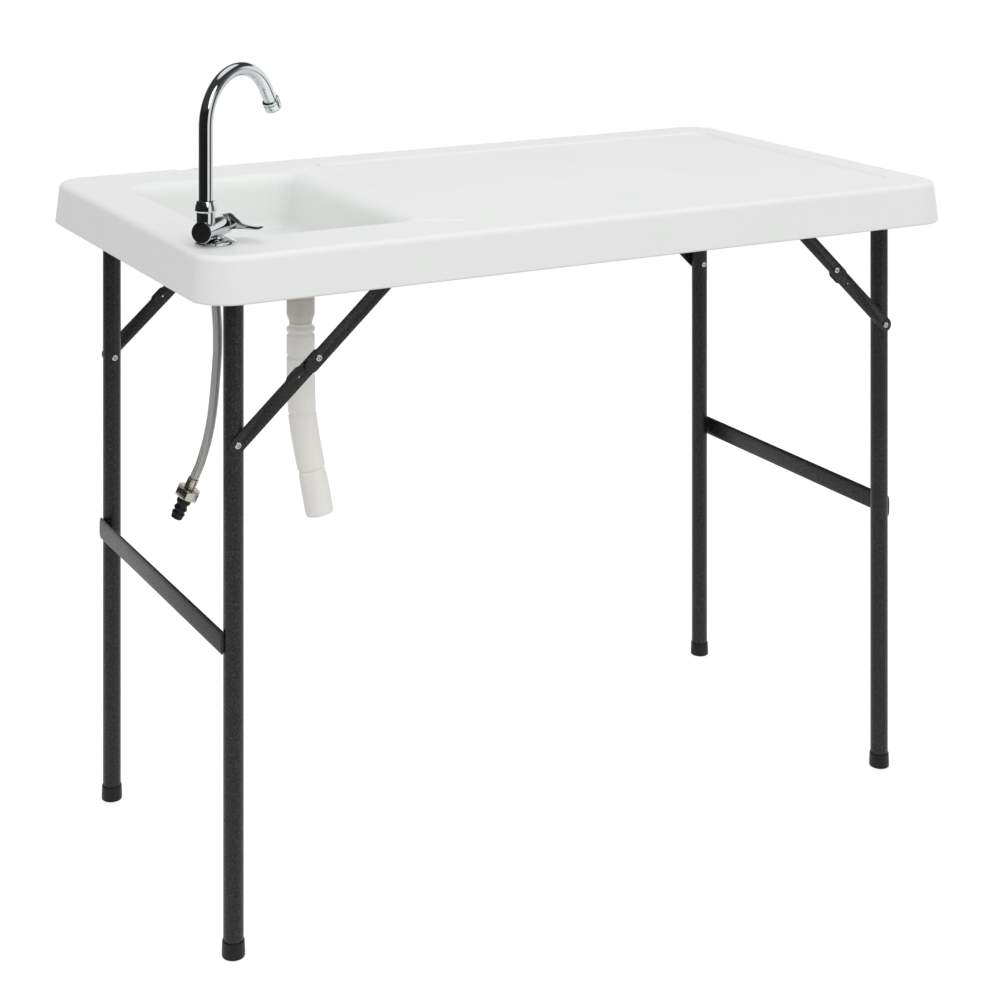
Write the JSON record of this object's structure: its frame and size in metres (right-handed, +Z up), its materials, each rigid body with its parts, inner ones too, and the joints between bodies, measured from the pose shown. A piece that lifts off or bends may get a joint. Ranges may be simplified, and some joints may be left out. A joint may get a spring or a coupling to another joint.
{
  "type": "folding fish cleaning table",
  "caption": "Folding table with a moulded top and sink, goose-neck faucet with supply hose, drain hose, and folding steel leg frames with braces.",
  "frame": {"origin": "on the floor, under the middle of the table top", "axes": "+X along the length away from the sink, +Y across to the back edge, +Z up"},
  "size_m": [1.143, 0.62, 1.0821],
  "materials": {
    "moulded_top": "blow-moulded white HDPE with a fine pebble grain",
    "painted_steel": "charcoal hammertone powder coat",
    "zinc_steel": "zinc plated",
    "chrome_trim": "polished chrome",
    "plated_brass": "nickel-plated brass",
    "steel_braid": "braided stainless wire",
    "black_plastic": "moulded black plastic",
    "hose_plastic": "off-white flexible plastic",
    "grey_plastic": "warm grey moulded plastic",
    "rubber_seal": "black rubber"
  },
  "bodies": {
    "root": {"tabletop": "moulded_top", "sink_strainer": "chrome_trim", "drain_gasket": "rubber_seal", "drain_lock_nut": "black_plastic", "drain_tailpiece": "grey_plastic", "drain_hose": "hose_plastic", "faucet_base_plate": "chrome_trim", "faucet_body": "chrome_trim", "faucet_end_cap": "black_plastic", "faucet_spout_nut": "chrome_trim", "faucet_cartridge": "plated_brass", "faucet_shank": "plated_brass", "faucet_deck_washer": "rubber_seal", "faucet_deck_nut": "plated_brass", "water_hose": "steel_braid", "hose_top_ferrule": "plated_brass", "hose_end_ferrule": "plated_brass", "hose_nut": "plated_brass", "quick_connector": "black_plastic", "left_front_hinge_bracket": "painted_steel", "left_back_hinge_bracket": "painted_steel", "right_front_hinge_bracket": "painted_steel", "right_back_hinge_bracket": "painted_steel", "left_front_anchor_bracket": "painted_steel", "left_back_anchor_bracket": "painted_steel", "right_front_anchor_bracket": "painted_steel", "right_back_anchor_bracket": "painted_steel"},
    "left_frame": {"left_front_leg": "painted_steel", "left_back_leg": "painted_steel", "left_cross_bar": "painted_steel", "left_axle_rod": "zinc_steel", "left_front_foot": "black_plastic", "left_back_foot": "black_plastic", "left_front_leg_rivet": "zinc_steel", "left_back_leg_rivet": "zinc_steel"},
    "right_frame": {"right_front_leg": "painted_steel", "right_back_leg": "painted_steel", "right_cross_bar": "painted_steel", "right_axle_rod": "zinc_steel", "right_front_foot": "black_plastic", "right_back_foot": "black_plastic", "right_front_leg_rivet": "zinc_steel", "right_back_leg_rivet": "zinc_steel"},
    "left_front_lower": {"left_front_lower_link": "painted_steel"},
    "left_back_lower": {"left_back_lower_link": "painted_steel"},
    "left_front_upper": {"left_front_upper_link": "painted_steel", "left_front_elbow_rivet": "zinc_steel"},
    "left_back_upper": {"left_back_upper_link": "painted_steel", "left_back_elbow_rivet": "zinc_steel"},
    "right_front_lower": {"right_front_lower_link": "painted_steel"},
    "right_back_lower": {"right_back_lower_link": "painted_steel"},
    "right_front_upper": {"right_front_upper_link": "painted_steel", "right_front_elbow_rivet": "zinc_steel"},
    "right_back_upper": {"right_back_upper_link": "painted_steel", "right_back_elbow_rivet": "zinc_steel"},
    "spout": {"faucet_spout": "chrome_trim", "faucet_aerator": "chrome_trim"},
    "lever": {"faucet_lever": "chrome_trim"}
  },
  "joints": [
    {"name": "left_frame_fold", "type": "hinge", "parent": "root", "child": "left_frame", "pos_m": [-0.5074, 0, 0.83], "axis": [0, -1, 0], "range_deg": [0, 90]},
    {"name": "right_frame_fold", "type": "hinge", "parent": "root", "child": "right_frame", "pos_m": [0.52155, 0, 0.83], "axis": [0, 1, 0], "range_deg": [0, 90]},
    {"name": "left_front_lower_link_fold", "type": "hinge", "parent": "left_frame", "child": "left_front_lower", "pos_m": [-0.5074, -0.24275, 0.6245], "axis": [0, -1, 0], "range_deg": [0, 48.4]},
    {"name": "left_back_lower_link_fold", "type": "hinge", "parent": "left_frame", "child": "left_back_lower", "pos_m": [-0.5074, 0.20925, 0.6245], "axis": [0, -1, 0], "range_deg": [0, 48.4]},
    {"name": "left_front_upper_link_fold", "type": "hinge", "parent": "root", "child": "left_front_upper", "pos_m": [-0.2764, -0.24275, 0.83], "axis": [0, -1, 0], "range_deg": [-41.7, 0]},
    {"name": "left_back_upper_link_fold", "type": "hinge", "parent": "root", "child": "left_back_upper", "pos_m": [-0.2764, 0.20925, 0.83], "axis": [0, -1, 0], "range_deg": [-41.7, 0]},
    {"name": "right_front_lower_link_fold", "type": "hinge", "parent": "right_frame", "child": "right_front_lower", "pos_m": [0.52155, -0.20925, 0.6465], "axis": [0, 1, 0], "range_deg": [0, 46]},
    {"name": "right_back_lower_link_fold", "type": "hinge", "parent": "right_frame", "child": "right_back_lower", "pos_m": [0.52155, 0.24275, 0.6465], "axis": [0, 1, 0], "range_deg": [0, 46]},
    {"name": "right_front_upper_link_fold", "type": "hinge", "parent": "root", "child": "right_front_upper", "pos_m": [0.33205, -0.20925, 0.83], "axis": [0, 1, 0], "range_deg": [-44.2, 0]},
    {"name": "right_back_upper_link_fold", "type": "hinge", "parent": "root", "child": "right_back_upper", "pos_m": [0.33205, 0.24275, 0.83], "axis": [0, 1, 0], "range_deg": [-44.2, 0]},
    {"name": "spout_swivel", "type": "hinge", "parent": "root", "child": "spout", "pos_m": [-0.54077, -0.23587, 0.95], "axis": [0, 0, 1], "continuous": true},
    {"name": "lever_lift", "type": "hinge", "parent": "root", "child": "lever", "pos_m": [-0.50498, -0.20365, 0.8834], "axis": [-0.7431, -0.6691, 0], "range_deg": [0, 90]}
  ],
  "couplings": [
    {"joint": "left_front_lower_link_fold", "follows": "left_frame_fold", "ratio": 0.53715},
    {"joint": "left_back_lower_link_fold", "follows": "left_frame_fold", "ratio": 0.53715},
    {"joint": "left_front_upper_link_fold", "follows": "left_frame_fold", "ratio": -0.46285},
    {"joint": "left_back_upper_link_fold", "follows": "left_frame_fold", "ratio": -0.46285},
    {"joint": "right_front_lower_link_fold", "follows": "right_frame_fold", "ratio": 0.51024},
    {"joint": "right_back_lower_link_fold", "follows": "right_frame_fold", "ratio": 0.51024},
    {"joint": "right_front_upper_link_fold", "follows": "right_frame_fold", "ratio": -0.48976},
    {"joint": "right_back_upper_link_fold", "follows": "right_frame_fold", "ratio": -0.48976}
  ]
}
